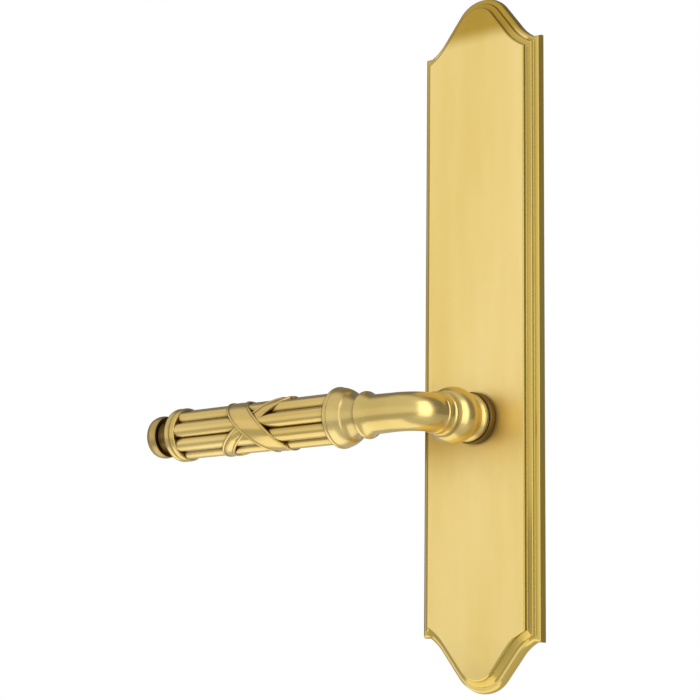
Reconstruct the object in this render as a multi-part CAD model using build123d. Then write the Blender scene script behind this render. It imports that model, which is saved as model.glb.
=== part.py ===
from build123d import *
import os
from math import acos, atan2, cos, hypot, pi, radians, sin, sqrt

# Outside half of a multipoint lever handle set, in millimetres.
# The origin is on the spindle's axis, in the plane of the door face. +X is right and +Z is up
# as someone in front of the door sees it, and -Y points away from the door.
# A level is a distance from the door face towards the viewer, and a station is a distance from
# the spindle's axis along the lever, which points to -X.

# Plate outline. A cove's centre lies outside the plate's side and above the dome's centre, a
# short straight joins the cove to the dome, and a narrow ledge joins it to the side.
PLATE_WIDTH = 51.0
PLATE_HEIGHT = 254.0
PLATE_CENTRE = 30.1
DOME_RADIUS = 12.55
COVE_OUTSIDE = 5.59
COVE_RISE = 9.96
COVE_EASE = 2.0
COVE_RADIUS = hypot(PLATE_WIDTH / 2 + COVE_OUTSIDE, COVE_RISE) - DOME_RADIUS - COVE_EASE
LEDGE_WIDTH = 2.8

# Plate edge moulding, as insets from the outline and levels above the door
PLATE_THICKNESS = 7.0
RIM_LEVEL = 3.6
ROUNDED_RIM = ((0, 0), (0, 1.6), (0.2, 2.6), (0.6, 3.3), (1.2, RIM_LEVEL))
STEPPED_RISE = ((2.1, RIM_LEVEL), (2.5, 4.7), (4.3, 5.4), (4.6, 6.7), (4.9, PLATE_THICKNESS))
CAVITY_INSET = 8.0
CAVITY_LEVEL = 5.0

# Posts that the inside plate's screws pull on
POST_FROM_END = 19.5
POST_RADIUS = 4.0
POST_LENGTH = 24.0
POST_STUD_RADIUS = 2.5
POST_STUD_LEVEL = 4.6
POST_TAPPING_RADIUS = 2.1
POST_TAPPED_DEPTH = 18.0
POST_BOSS_RADIUS = 5.5

# Shank bearing
SHANK_RADIUS = 7.0
RUNNING_GAP = 0.05
BUSH_RADIUS = 8.2
COLLAR_SPIGOT_RADIUS = 8.9
COLLAR_RADIUS = 9.3
COLLAR_LEVEL = 10.0
COLLAR_ROUNDING = 0.6
WASHER_LEVEL = 10.25
WASHER_RADIUS = 8.1
FOOT_LEVEL = WASHER_LEVEL + RUNNING_GAP
SHANK_END_LEVEL = 0.7
SHANK_FLAT = 6.1

# Rings turned on the shank, from its foot to the elbow
FOOT_RING_TOP = 12.9
FOOT_RING_EDGE = 8.2
FOOT_RING_CROWN = 8.7
WAIST_LEVELS = (13.3, 15.4)
WAIST_RADIUS = 7.8
BEAD_LEVELS = (15.6, 25.7)
BEAD_EDGE = 8.2
BEAD_CROWN = 10.15
UNDERCUT_LEVEL = 26.1
UNDERCUT_RADIUS = 7.2
LOWER_RING_LEVELS = (26.5, 28.6)
LOWER_RING_EDGE = 7.3
LOWER_RING_CROWN = 7.85
UPPER_RING_LEVELS = (30.2, 31.8)
UPPER_RING_EDGE = 7.1
UPPER_RING_CROWN = 7.4

# Lever, before it is turned to its rest
GRIP_LEVEL = 42.0
ELBOW_RADIUS = 8.5
TUBE_RADIUS = 6.8
ELBOW_LEVEL = GRIP_LEVEL - ELBOW_RADIUS
NECK_END = 21.4
GRIP_START = 31.2
BELL_MOUTH = 33.2
GRIP_END = 107.2
RING_END = 112.3
LEVER_TIP = 123.9
REED_COUNT = 8
REED_TURN = 7.5
REED_CROWN = 9.45
REED_GROOVE = 7.8
MOUTH_RADIUS = 9.5
REST_DROOP = 1.74

# Flare and ring at the neck's end
FLARE_START = 15.8
FLARE_START_RADIUS = 6.95
FLARE_MIDDLE = 18.1
FLARE_MIDDLE_RADIUS = 7.3
NECK_RING_START = 19.6
NECK_RING_EDGE = 8.1
NECK_RING_CROWN = 8.45

# Bell ferrule: a straight neck, a hollow flare that turns full, and a rounded lip
BELL_NECK_END = 23.6
BELL_NECK_RADIUS = 7.0
BELL_HOLLOW = 25.8
BELL_HOLLOW_RADIUS = 7.75
BELL_TURN = 27.0
BELL_TURN_RADIUS = 8.9
BELL_SWELL = 28.9
BELL_SWELL_RADIUS = 10.1
LIP_START = 31.3
LIP_STEP_RADIUS = 10.7
LIP_EDGE = 10.4
LIP_CROWN = 11.0

# End ring of two beads, and the button: a disc with a square back on a coved neck
RING_EDGE = 9.5
RING_CROWN = 10.2
BUTTON_FOOT_RADIUS = 7.4
BUTTON_COVE_RADIUS = 5.6
BUTTON_NECK_RADIUS = 6.0
DISC_BACK = 118.9
DISC_FRONT = 123.3
DISC_EDGE = 7.7
DISC_CROWN = 8.15
CAP_STATION = 123.75
CAP_RADIUS = 4.0
CAP_FLAT_RADIUS = 1.0

# Crossed ribbons round the grip: middle station, lean from there to the top, and width
OVER_RIBBON = (69.6, 10.5, 12.0)
UNDER_RIBBON = (70.8, -14.2, 7.2)
RIBBON_RADIUS = 9.7

# Rod and spindle inside the lever
ROD_RADIUS = 3.0
ROD_START = 12.0
ROD_END = 118.0
SPINDLE_SIDE = 8.0
SPINDLE_LEVEL = 28.0
SPINDLE_BEHIND = 31.0

# Return spring cassette in the plate's hollow back
CASSETTE_RADIUS = 17.0
CASSETTE_CLEARANCE = 0.4
CASSETTE_BORE = 15.6
CASSETTE_FLOOR = 4.2
COVER_RADIUS = 16.4
COVER_LEVEL = 0.6
COVER_HOLE = 8.6
EAR_WIDTH = 7.0
EAR_LEVELS = (1.6, 2.6)
SCREW_REACH = 20.5
SCREW_RADIUS = 1.25
SCREW_HEAD_RADIUS = 2.4
SCREW_HEAD_LEVEL = 0.3
SCREW_TIP_LEVEL = 6.2
SCREW_BOSS_RADIUS = 3.2
ROTOR_LEVELS = (1.9, 4.1)
ROTOR_RADIUS = 11.0
ROTOR_HUB_RADIUS = 8.8
LUG_RADIUS = 15.2
LUG_HALF_WIDTH = 2.0
STOP_RADIUS = 9.2
STOP_HALF_ANGLE = 12.0
TURN_EACH_WAY = 45.0
STOP_MARGIN = 0.4
CUT_MARGIN = 1.0
CLIP_LEVELS = (1.1, 1.9)
CLIP_GROOVE_RADIUS = 6.3
CLIP_RADIUS = 8.2
CLIP_GAP_HALF_ANGLE = 28.0
SPRING_RING_RADIUS = 13.4
SPRING_COIL_RADIUS = 1.1
SPRING_WIRE_RADIUS = 0.35
SPRING_LEVEL = 2.5
SPRING_TURNS = 12
POINTS_PER_TURN = 8

# Drawing planes: seen from the front, across the shank, and across the lever
FRONT = Plane.XZ
ACROSS_SHANK = Plane(origin=(0, 0, 0), x_dir=(0, -1, 0), z_dir=(0, 0, 1))
ACROSS_LEVER = Plane(origin=(0, -GRIP_LEVEL, 0), x_dir=(-1, 0, 0), z_dir=(0, 1, 0))
LEVER_AXIS = Axis((0, -GRIP_LEVEL, 0), (-1, 0, 0))
ELBOW_AXIS = Axis((-ELBOW_RADIUS, -ELBOW_LEVEL, 0), (0, 0, -1))


def closed_face(start, *steps):
    """Face inside an outline. A step is a point to go straight to, or (via, end) for an arc."""
    edges = []
    here = start
    for step in steps:
        if isinstance(step[0], tuple):
            via, end = step
            edges.append(ThreePointArc(here, via, end))
        else:
            end = step
            if end != here:
                edges.append(Line(here, end))
        here = end
    if here != start:
        edges.append(Line(here, start))
    return make_face(edges)


def bead(first, last, edge, crown):
    """Steps of a rounded ring on a turned profile: to its edge, then over its crown."""
    return (first, edge), (((first + last) / 2, crown), (last, edge))


def polar(radius, degrees):
    """Point at a radius and an angle from +X towards +Z."""
    return (radius * cos(radians(degrees)), radius * sin(radians(degrees)))


def sector(inner, outer, middle, half_angle):
    """Part of a ring, seen from the front."""
    first = middle - half_angle
    last = middle + half_angle
    return closed_face(
        polar(inner, first),
        polar(outer, first),
        (polar(outer, middle), polar(outer, last)),
        polar(inner, last),
        (polar(inner, middle), polar(inner, first)),
    )


def slab(face, bottom, top):
    """Extrude a face seen from the front between two levels."""
    return extrude(FRONT.offset(bottom) * face, top - bottom)


def turned_on_shank(face):
    """Turn a (level, radius) face about the spindle's axis."""
    return revolve(ACROSS_SHANK * face, Axis.Y)


def turned_on_lever(face):
    """Turn a (station, radius) face about the lever's axis."""
    return revolve(ACROSS_LEVER * face, LEVER_AXIS)


def rod_hole():
    """The hole through the lever's pieces that the tie rod fills."""
    return turned_on_lever(
        closed_face((ROD_START, 0), (ROD_END, 0), (ROD_END, ROD_RADIUS), (ROD_START, ROD_RADIUS))
    )


# The plate and what is fixed to it


def plate_face(inset, ledge=False):
    """The plate's outline, moved in by the inset: domed ends, coves and straight sides."""
    dome_centre = PLATE_HEIGHT / 2 - DOME_RADIUS
    cove_x = PLATE_WIDTH / 2 + COVE_OUTSIDE
    cove_z = dome_centre + COVE_RISE
    dome = DOME_RADIUS - inset
    cove = COVE_RADIUS + inset
    side = PLATE_WIDTH / 2 - inset
    reach = DOME_RADIUS + COVE_RADIUS
    tangent = atan2(COVE_RISE, cove_x) + acos(reach / (reach + COVE_EASE))
    if ledge:
        drop = sqrt(COVE_RADIUS**2 - (COVE_OUTSIDE + LEDGE_WIDTH) ** 2) + inset
        foot = (cove_x - sqrt(cove**2 - drop**2), cove_z - drop)
    else:
        foot = (side, cove_z - sqrt(cove**2 - (cove_x - side) ** 2))
    corner = (side, foot[1])
    foot_angle = atan2(foot[1] - cove_z, foot[0] - cove_x) % (2 * pi)
    middle_angle = (foot_angle + tangent + pi) / 2
    dome_end = (dome * cos(tangent), dome_centre + dome * sin(tangent))
    cove_end = (cove_x - cove * cos(tangent), cove_z - cove * sin(tangent))
    cove_middle = (cove_x + cove * cos(middle_angle), cove_z + cove * sin(middle_angle))

    def at(point, across=1, up=1):
        return (across * point[0], up * point[1])

    apex = (0, dome_centre + dome)
    outline = closed_face(
        at(corner, up=-1),
        corner,
        foot,
        (cove_middle, cove_end),
        dome_end,
        (apex, at(dome_end, across=-1)),
        at(cove_end, across=-1),
        (at(cove_middle, across=-1), at(foot, across=-1)),
        at(corner, across=-1),
        at(corner, -1, -1),
        at(foot, -1, -1),
        (at(cove_middle, -1, -1), at(cove_end, -1, -1)),
        at(dome_end, -1, -1),
        (at(apex, up=-1), at(dome_end, up=-1)),
        at(cove_end, up=-1),
        (at(cove_middle, up=-1), at(foot, up=-1)),
    )
    return Pos(0, PLATE_CENTRE) * outline


def moulded(profile, ledge=False):
    """Straight-sided steps between outlines at (inset, level) pairs."""
    faces = [FRONT.offset(level) * plate_face(inset, ledge) for inset, level in profile]
    return loft(faces, ruled=True)


def post_places():
    """Where the two posts stand, seen from the front."""
    reach = PLATE_HEIGHT / 2 - POST_FROM_END
    return [(0, PLATE_CENTRE + side * reach) for side in (1, -1)]


def screw_places():
    """Where the cassette's two screws are, seen from the front."""
    return [(0, side * SCREW_REACH) for side in (1, -1)]


def escutcheon_plate():
    """Hot-forged brass plate with a stepped edge, a hollow back and bosses inside it."""
    tread = slab(plate_face(STEPPED_RISE[0][0], ledge=True), 0, RIM_LEVEL)
    plate = moulded(ROUNDED_RIM, ledge=True) + tread + moulded(STEPPED_RISE)
    pocket = Circle(CASSETTE_RADIUS + CASSETTE_CLEARANCE)
    plate -= slab(plate_face(CAVITY_INSET) + pocket, 0, CAVITY_LEVEL)
    for place in post_places():
        plate += slab(Pos(*place) * Circle(POST_BOSS_RADIUS), 0, CAVITY_LEVEL)
        plate -= slab(Pos(*place) * Circle(POST_STUD_RADIUS), 0, POST_STUD_LEVEL)
    for place in screw_places():
        plate += slab(Pos(*place) * Circle(SCREW_BOSS_RADIUS), EAR_LEVELS[1], CAVITY_LEVEL)
        plate -= slab(Pos(*place) * Circle(SCREW_RADIUS), EAR_LEVELS[1], SCREW_TIP_LEVEL)
    return plate - slab(Circle(COLLAR_SPIGOT_RADIUS), CAVITY_LEVEL, PLATE_THICKNESS)


def rose_collar():
    """Raised ring pressed into the plate round the shank."""
    return turned_on_shank(
        closed_face(
            (CAVITY_LEVEL, BUSH_RADIUS),
            (CAVITY_LEVEL, COLLAR_SPIGOT_RADIUS),
            (PLATE_THICKNESS, COLLAR_SPIGOT_RADIUS),
            (PLATE_THICKNESS, COLLAR_RADIUS),
            (COLLAR_LEVEL - COLLAR_ROUNDING, COLLAR_RADIUS),
            (COLLAR_LEVEL, COLLAR_RADIUS - COLLAR_ROUNDING),
            (COLLAR_LEVEL, BUSH_RADIUS),
        )
    )


def shank_bush():
    """Plain nylon bush that the lever's shank turns in."""
    bore = SHANK_RADIUS + RUNNING_GAP
    return slab(Circle(BUSH_RADIUS) - Circle(bore), CASSETTE_FLOOR, COLLAR_LEVEL)


def thrust_washer():
    """Thin washer between the collar and the lever's foot."""
    bore = SHANK_RADIUS + RUNNING_GAP
    return slab(Circle(WASHER_RADIUS) - Circle(bore), COLLAR_LEVEL, WASHER_LEVEL)


def threaded_post(place):
    """Steel post screwed into the plate, tapped at its far end for the inside plate's screw."""
    stud = slab(Circle(POST_STUD_RADIUS), 0, POST_STUD_LEVEL)
    barrel = slab(Circle(POST_RADIUS), -POST_LENGTH, 0)
    thread = slab(Circle(POST_TAPPING_RADIUS), -POST_LENGTH, POST_TAPPED_DEPTH - POST_LENGTH)
    return Pos(place[0], 0, place[1]) * (stud + barrel - thread)


def cassette_housing():
    """Pressed steel cup with two ears and the block that stops the rotor."""
    low, high = EAR_LEVELS
    cup = slab(Circle(CASSETTE_RADIUS) - Circle(CASSETTE_BORE), 0, CASSETTE_FLOOR)
    cup += slab(Circle(CASSETTE_RADIUS) - Circle(BUSH_RADIUS), CASSETTE_FLOOR, CAVITY_LEVEL)
    cup -= slab(Circle(COVER_RADIUS), 0, COVER_LEVEL)
    cup += slab(sector(STOP_RADIUS, CASSETTE_BORE, -90, STOP_HALF_ANGLE), COVER_LEVEL, CASSETTE_FLOOR)
    ears = SlotOverall(2 * SCREW_REACH + EAR_WIDTH, EAR_WIDTH, rotation=90)
    ears -= Circle((CASSETTE_RADIUS + CASSETTE_BORE) / 2)
    cup += slab(ears, low, high)
    for place in screw_places():
        cup -= slab(Pos(*place) * Circle(SCREW_RADIUS), low, high)
    return cup


def cassette_cover():
    """Sheet steel disc that closes the cassette."""
    return slab(Circle(COVER_RADIUS) - Circle(COVER_HOLE), 0, COVER_LEVEL)


def cassette_screws():
    """Two pan-head screws through the cassette's ears."""
    screw = slab(Circle(SCREW_HEAD_RADIUS), SCREW_HEAD_LEVEL, EAR_LEVELS[0])
    screw += slab(Circle(SCREW_RADIUS), EAR_LEVELS[0], SCREW_TIP_LEVEL)
    return Compound([Pos(x, 0, z) * screw for x, z in screw_places()])


def return_spring(side):
    """Compression spring bent round the rotor, from its lug to the cassette's stop block."""
    spring_end = (SPRING_WIRE_RADIUS + RUNNING_GAP) / SPRING_RING_RADIUS
    lug_angle = 90 + REST_DROOP * side
    lug_half = atan2(LUG_HALF_WIDTH, SPRING_RING_RADIUS) + spring_end
    first = radians(lug_angle if side > 0 else 180 - lug_angle) + lug_half
    last = radians(270 - STOP_HALF_ANGLE) - spring_end
    count = SPRING_TURNS * POINTS_PER_TURN
    points = []
    for number in range(count + 1):
        angle = first + (last - first) * number / count
        turn = 2 * pi * number / POINTS_PER_TURN
        radius = SPRING_RING_RADIUS + SPRING_COIL_RADIUS * cos(turn)
        level = SPRING_LEVEL + SPRING_COIL_RADIUS * sin(turn)
        points.append((side * radius * cos(angle), -level, radius * sin(angle)))
    path = Spline(points)
    return sweep(Plane(path @ 0, z_dir=path % 0) * Circle(SPRING_WIRE_RADIUS), path)


# The lever and what turns with it


def spindle():
    """Square steel bar, fixed in the shank and standing out behind the door face."""
    return slab(Rectangle(SPINDLE_SIDE, SPINDLE_SIDE), -SPINDLE_BEHIND, SPINDLE_LEVEL)


def shank_blank():
    """The turned part of the shank: journal, foot ring, bead and the small rings above it."""
    return turned_on_shank(
        closed_face(
            (SHANK_END_LEVEL, 0),
            (SHANK_END_LEVEL, SHANK_RADIUS),
            (FOOT_LEVEL, SHANK_RADIUS),
            *bead(FOOT_LEVEL, FOOT_RING_TOP, FOOT_RING_EDGE, FOOT_RING_CROWN),
            (WAIST_LEVELS[0], WAIST_RADIUS),
            (WAIST_LEVELS[1], WAIST_RADIUS),
            *bead(*BEAD_LEVELS, BEAD_EDGE, BEAD_CROWN),
            (UNDERCUT_LEVEL, UNDERCUT_RADIUS),
            *bead(*LOWER_RING_LEVELS, LOWER_RING_EDGE, LOWER_RING_CROWN),
            *bead(*UPPER_RING_LEVELS, UPPER_RING_EDGE, UPPER_RING_CROWN),
            (ELBOW_LEVEL, TUBE_RADIUS),
            (ELBOW_LEVEL, 0),
        )
    )


def lever_neck():
    """Shank, elbow and flared neck, cast and turned in one piece."""
    elbow = revolve(FRONT.offset(ELBOW_LEVEL) * Circle(TUBE_RADIUS), ELBOW_AXIS, 90)
    neck = turned_on_lever(
        closed_face(
            (ELBOW_RADIUS, 0),
            (ELBOW_RADIUS, TUBE_RADIUS),
            (FLARE_START, FLARE_START_RADIUS),
            ((FLARE_MIDDLE, FLARE_MIDDLE_RADIUS), (NECK_RING_START, NECK_RING_EDGE)),
            *bead(NECK_RING_START, NECK_END, NECK_RING_EDGE, NECK_RING_CROWN),
            (NECK_END, 0),
        )
    )
    clip_groove = slab(Circle(SHANK_RADIUS) - Circle(CLIP_GROOVE_RADIUS), *CLIP_LEVELS)
    beside_flats = Circle(SHANK_RADIUS) - Rectangle(2 * SHANK_FLAT, 2 * SHANK_RADIUS)
    flats = slab(beside_flats, SHANK_END_LEVEL, ROTOR_LEVELS[1])
    return shank_blank() + elbow + neck - clip_groove - flats - spindle() - rod_hole()


def bell_ferrule():
    """Bell-shaped ferrule between the neck and the grip, recessed for the grip's end."""
    return turned_on_lever(
        closed_face(
            (NECK_END, ROD_RADIUS),
            (NECK_END, BELL_NECK_RADIUS),
            (BELL_NECK_END, BELL_NECK_RADIUS),
            ((BELL_HOLLOW, BELL_HOLLOW_RADIUS), (BELL_TURN, BELL_TURN_RADIUS)),
            ((BELL_SWELL, BELL_SWELL_RADIUS), (LIP_START, LIP_STEP_RADIUS)),
            *bead(LIP_START, BELL_MOUTH, LIP_EDGE, LIP_CROWN),
            (BELL_MOUTH, MOUTH_RADIUS),
            (GRIP_START, MOUTH_RADIUS),
            (GRIP_START, ROD_RADIUS),
        )
    )


def tie_rod():
    """Threaded rod that pulls the lever's pieces together."""
    return rod_hole()


def reed_section():
    """Section of the grip: equal reeds round the rod."""
    step = 360 / REED_COUNT
    arcs = []
    for number in range(REED_COUNT):
        middle = REED_TURN + number * step
        start = polar(REED_GROOVE, middle - step / 2)
        end = polar(REED_GROOVE, middle + step / 2)
        arcs.append(ThreePointArc(start, polar(REED_CROWN, middle), end))
    return make_face(arcs)


def reeded_grip():
    """Solid brass grip with eight convex reeds."""
    across = Plane(origin=(-GRIP_START, -GRIP_LEVEL, 0), x_dir=(0, -1, 0), z_dir=(-1, 0, 0))
    return extrude(across * reed_section(), GRIP_END - GRIP_START) - rod_hole()


def tilted_band(middle, lean, width):
    """Slice of a round bar between two parallel slanting planes."""
    top = 2 * RIBBON_RADIUS
    slice_face = closed_face(
        (middle - 2 * lean - width / 2, -top),
        (middle - 2 * lean + width / 2, -top),
        (middle + 2 * lean + width / 2, top),
        (middle + 2 * lean - width / 2, top),
    )
    block = extrude(ACROSS_LEVER * slice_face, RIBBON_RADIUS, both=True)
    across = Plane(origin=(-GRIP_START, -GRIP_LEVEL, 0), z_dir=(-1, 0, 0))
    return block & extrude(across * Circle(RIBBON_RADIUS), GRIP_END - GRIP_START)


def crossed_ribbons():
    """Two slanting bands that cross at the front and back of the grip."""
    bands = tilted_band(*OVER_RIBBON) + tilted_band(*UNDER_RIBBON)
    return bands - reeded_grip() - rod_hole()


def end_ring():
    """Ring of two beads that closes the grip."""
    middle = (GRIP_END + RING_END) / 2
    return turned_on_lever(
        closed_face(
            (GRIP_END, ROD_RADIUS),
            *bead(GRIP_END, middle, RING_EDGE, RING_CROWN),
            *bead(middle, RING_END, RING_EDGE, RING_CROWN),
            (RING_END, ROD_RADIUS),
        )
    )


def end_button():
    """Round-edged disc on a coved neck, screwed onto the tie rod."""
    cove_middle = (RING_END + DISC_BACK) / 2
    blank = turned_on_lever(
        closed_face(
            (RING_END, 0),
            (RING_END, BUTTON_FOOT_RADIUS),
            ((cove_middle, BUTTON_COVE_RADIUS), (DISC_BACK, BUTTON_NECK_RADIUS)),
            *bead(DISC_BACK, DISC_FRONT, DISC_EDGE, DISC_CROWN),
            ((CAP_STATION, CAP_RADIUS), (LEVER_TIP, CAP_FLAT_RADIUS)),
            (LEVER_TIP, 0),
        )
    )
    return blank - rod_hole()


def rotor():
    """Disc on the shank's flats, with a lug between the springs and a notch for the stop."""
    notch_half = TURN_EACH_WAY + STOP_HALF_ANGLE + STOP_MARGIN
    seat = Circle(SHANK_RADIUS) & Rectangle(2 * SHANK_FLAT, 2 * SHANK_RADIUS)
    lug = Pos(0, LUG_RADIUS / 2) * Rectangle(2 * LUG_HALF_WIDTH, LUG_RADIUS)
    disc = Circle(ROTOR_RADIUS) - sector(ROTOR_HUB_RADIUS, ROTOR_RADIUS + CUT_MARGIN, -90, notch_half)
    return slab(disc + lug - seat, *ROTOR_LEVELS)


def retaining_ring():
    """Open clip in the shank's groove, behind the rotor."""
    ring = Circle(CLIP_RADIUS) - Circle(CLIP_GROOVE_RADIUS)
    inside = CLIP_GROOVE_RADIUS - CUT_MARGIN
    ring -= sector(inside, CLIP_RADIUS + CUT_MARGIN, -90, CLIP_GAP_HALF_ANGLE)
    return slab(ring, *CLIP_LEVELS)


PLATE_PIECES = {
    "escutcheon_plate": escutcheon_plate(),
    "rose_collar": rose_collar(),
    "shank_bush": shank_bush(),
    "thrust_washer": thrust_washer(),
    "upper_post": threaded_post(post_places()[0]),
    "lower_post": threaded_post(post_places()[1]),
    "cassette_housing": cassette_housing(),
    "cassette_cover": cassette_cover(),
    "cassette_screws": cassette_screws(),
    "return_spring_left": return_spring(1),
    "return_spring_right": return_spring(-1),
}
LEVER_PIECES = {
    "spindle": spindle(),
    "lever_neck": lever_neck(),
    "bell_ferrule": bell_ferrule(),
    "tie_rod": tie_rod(),
    "reeded_grip": reeded_grip(),
    "crossed_ribbons": crossed_ribbons(),
    "end_ring": end_ring(),
    "end_button": end_button(),
    "rotor": rotor(),
    "retaining_ring": retaining_ring(),
}

os.makedirs("parts", exist_ok=True)
for name, piece in PLATE_PIECES.items():
    export_step(piece, f"parts/{name}.step")
for name, piece in LEVER_PIECES.items():
    export_step(Rot(0, -REST_DROOP, 0) * piece, f"parts/{name}.step")
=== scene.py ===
# %% [markdown]
# A brass lever handle set for a multipoint door, dressed for a picture.
# On the real object a long forged plate lies on the door, and a turned lever with a reeded grip
# stands out of it. The solid model fixes every size and every joint. This lesson puts finer
# surfaces and real finishes over that model, and never moves it.
# All sizes below are in millimetres, and MM turns them into Blender's metres.

# %% Load the frame
import math

import bmesh
import bpy
from mathutils import Matrix, Vector


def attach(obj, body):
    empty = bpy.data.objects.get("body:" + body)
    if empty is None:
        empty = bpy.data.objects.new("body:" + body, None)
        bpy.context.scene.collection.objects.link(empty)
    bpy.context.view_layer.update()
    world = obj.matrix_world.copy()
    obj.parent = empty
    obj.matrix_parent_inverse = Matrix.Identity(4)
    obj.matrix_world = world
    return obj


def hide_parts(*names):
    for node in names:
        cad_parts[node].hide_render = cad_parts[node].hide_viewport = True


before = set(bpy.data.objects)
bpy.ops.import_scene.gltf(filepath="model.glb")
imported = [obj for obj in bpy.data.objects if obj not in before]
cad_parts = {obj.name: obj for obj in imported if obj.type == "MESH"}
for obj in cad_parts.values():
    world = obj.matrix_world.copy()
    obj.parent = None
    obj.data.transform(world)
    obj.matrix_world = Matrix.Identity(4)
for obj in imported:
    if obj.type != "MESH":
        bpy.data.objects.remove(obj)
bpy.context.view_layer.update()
MM = 0.001
print("CAD pieces:", len(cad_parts))

# %% [markdown]
# The sizes that the surfaces share. A level is a distance from the door face towards the
# viewer, and a station is a distance from the spindle's axis along the lever. The lever is drawn
# level and then turned down by its small droop, as it rests in the photo.

# %% Sizes
PLATE_WIDTH = 51.0
PLATE_HEIGHT = 254.0
PLATE_CENTRE = 30.1
DOME_RADIUS = 12.55
COVE_OUTSIDE = 5.59
COVE_RISE = 9.96
COVE_EASE = 2.0
COVE_RADIUS = math.hypot(PLATE_WIDTH / 2 + COVE_OUTSIDE, COVE_RISE) - DOME_RADIUS - COVE_EASE
LEDGE_WIDTH = 2.8
PLATE_THICKNESS = 7.0
LEAN_START = 108.0
LEAN_DROP = 1.4
CAVITY_INSET = 8.0
CAVITY_LEVEL = 5.0
POST_SPACING = 215.0
SCREW_REACH = 20.5
COLLAR_RADIUS = 9.3
COLLAR_LEVEL = 10.0
BUSH_RADIUS = 8.2
COLLAR_SPIGOT_RADIUS = 8.9
GRIP_LEVEL = 42.0
ELBOW_RADIUS = 8.5
ELBOW_LEVEL = GRIP_LEVEL - ELBOW_RADIUS
NECK_END = 21.4
BELL_MOUTH = 33.2
GRIP_START = 31.2
GRIP_END = 107.2
RING_END = 112.3
LEVER_TIP = 123.9
TIE_ROD_BORE = 3.0
REST_TURN = Matrix.Rotation(math.radians(-1.74), 4, "Y")
print("cove radius:", round(COVE_RADIUS, 2), "mm")

# %% [markdown]
# Turned and swept metal is a row of rings joined by quads. A profile is written as corners and
# arcs, the way a turner would mark it out, then each hard corner gets a tiny radius, because a
# real polished edge is never sharp and it is that radius that catches the light.

# %% Profile helpers
CORNER_RADIUS = 0.18
CORNER_SHARE = 0.45


def arc(start, via, end, steps):
    """Points on the arc through three points, without its start."""
    a, b, c = (complex(*p) for p in (start, via, end))
    w = (c - a) / (b - a)
    centre = a + (b - a) * (w - abs(w) ** 2) / (2j * w.imag)
    first = math.atan2((a - centre).imag, (a - centre).real)
    middle = math.atan2((b - centre).imag, (b - centre).real)
    last = math.atan2((c - centre).imag, (c - centre).real)
    turn = (last - first) % math.tau
    if (middle - first) % math.tau > turn:
        turn -= math.tau
    radius = abs(a - centre)
    angles = [first + turn * k / steps for k in range(1, steps + 1)]
    return [(centre.real + radius * math.cos(t), centre.imag + radius * math.sin(t)) for t in angles]


def trace(start, *moves, steps=14):
    """A profile: each move is a point to go straight to, or (via, end) for an arc."""
    points = [start]
    for move in moves:
        if isinstance(move[0], tuple):
            points += arc(points[-1], move[0], move[1], steps)
        else:
            points.append(move)
    return points


def softened(points, radius=CORNER_RADIUS, steps=3, least=22.0):
    """The same profile with a small radius at every corner that turns by the least angle."""
    out = [points[0]]
    for before, here, after in zip(points, points[1:], points[2:]):
        a = Vector(here) - Vector(before)
        b = Vector(after) - Vector(here)
        turn = abs(math.degrees(a.angle(b))) if a.length > 1e-6 and b.length > 1e-6 else 0.0
        if turn < least:
            out.append(here)
            continue
        room = min(a.length, b.length) * CORNER_SHARE
        cut = min(radius * math.tan(math.radians(turn) / 2), room)
        first = Vector(here) - a.normalized() * cut
        last = Vector(here) + b.normalized() * cut
        for k in range(steps + 1):
            t = k / steps
            point = first * (1 - t) ** 2 + Vector(here) * 2 * t * (1 - t) + last * t**2
            out.append(tuple(point))
    out.append(points[-1])
    return out


print("an arc of 4 steps:", [tuple(round(v, 2) for v in p) for p in arc((0, 0), (1, 1), (2, 0), 4)])

# %% [markdown]
# A mesh could be made with Blender's own Screw or Spin tools, but a row of rings also serves the
# bent neck, the ribbons and the plate's edge. So one helper joins rings, and one merges doubled
# points, turns the faces outwards and shades the piece smooth up to a crease.

# %% Mesh helpers
MERGE_DISTANCE = 0.0001


def skin(mesh, rings, cyclic=False, capped=True):
    """Join rings of equal length with quads in a bmesh, and cap the ends."""
    loops = [[mesh.verts.new(Vector(p) * MM) for p in ring] for ring in rings]
    pairs = list(zip(loops, loops[1:])) + ([(loops[-1], loops[0])] if cyclic else [])
    for low, high in pairs:
        for k in range(len(low)):
            nxt = (k + 1) % len(low)
            mesh.faces.new((low[k], low[nxt], high[nxt], high[k]))
    if capped and not cyclic:
        mesh.faces.new(loops[0])
        mesh.faces.new(list(reversed(loops[-1])))
    return loops


def finish_mesh(mesh, name, material, turn=None, crease=32.0):
    """Turn a bmesh into a clean, smooth-shaded object with outward faces."""
    bmesh.ops.remove_doubles(mesh, verts=mesh.verts, dist=MERGE_DISTANCE * MM)
    bmesh.ops.recalc_face_normals(mesh, faces=mesh.faces)
    data = bpy.data.meshes.new(name)
    mesh.to_mesh(data)
    mesh.free()
    if turn:
        data.transform(turn)
    data.polygons.foreach_set("use_smooth", [True] * len(data.polygons))
    data.set_sharp_from_angle(angle=math.radians(crease))
    data.materials.append(material)
    piece = bpy.data.objects.new(name, data)
    bpy.context.scene.collection.objects.link(piece)
    print(f"{name}: {len(data.vertices)} points, {len(data.polygons)} faces")
    return piece


def around(count=144):
    """Equal angles round a turned piece."""
    return [math.tau * k / count for k in range(count)]


def on_shank(level, radius, angle):
    """A point round the spindle's axis."""
    return (radius * math.cos(angle), -level, radius * math.sin(angle))


def on_lever(station, radius, angle):
    """A point round the lever's axis. Angle 0 faces the viewer and a quarter turn faces up."""
    return (-station, -GRIP_LEVEL - radius * math.cos(angle), radius * math.sin(angle))


print("a point on top of the grip:", tuple(round(v, 1) for v in on_lever(GRIP_START, 9, math.pi / 2)))

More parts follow.
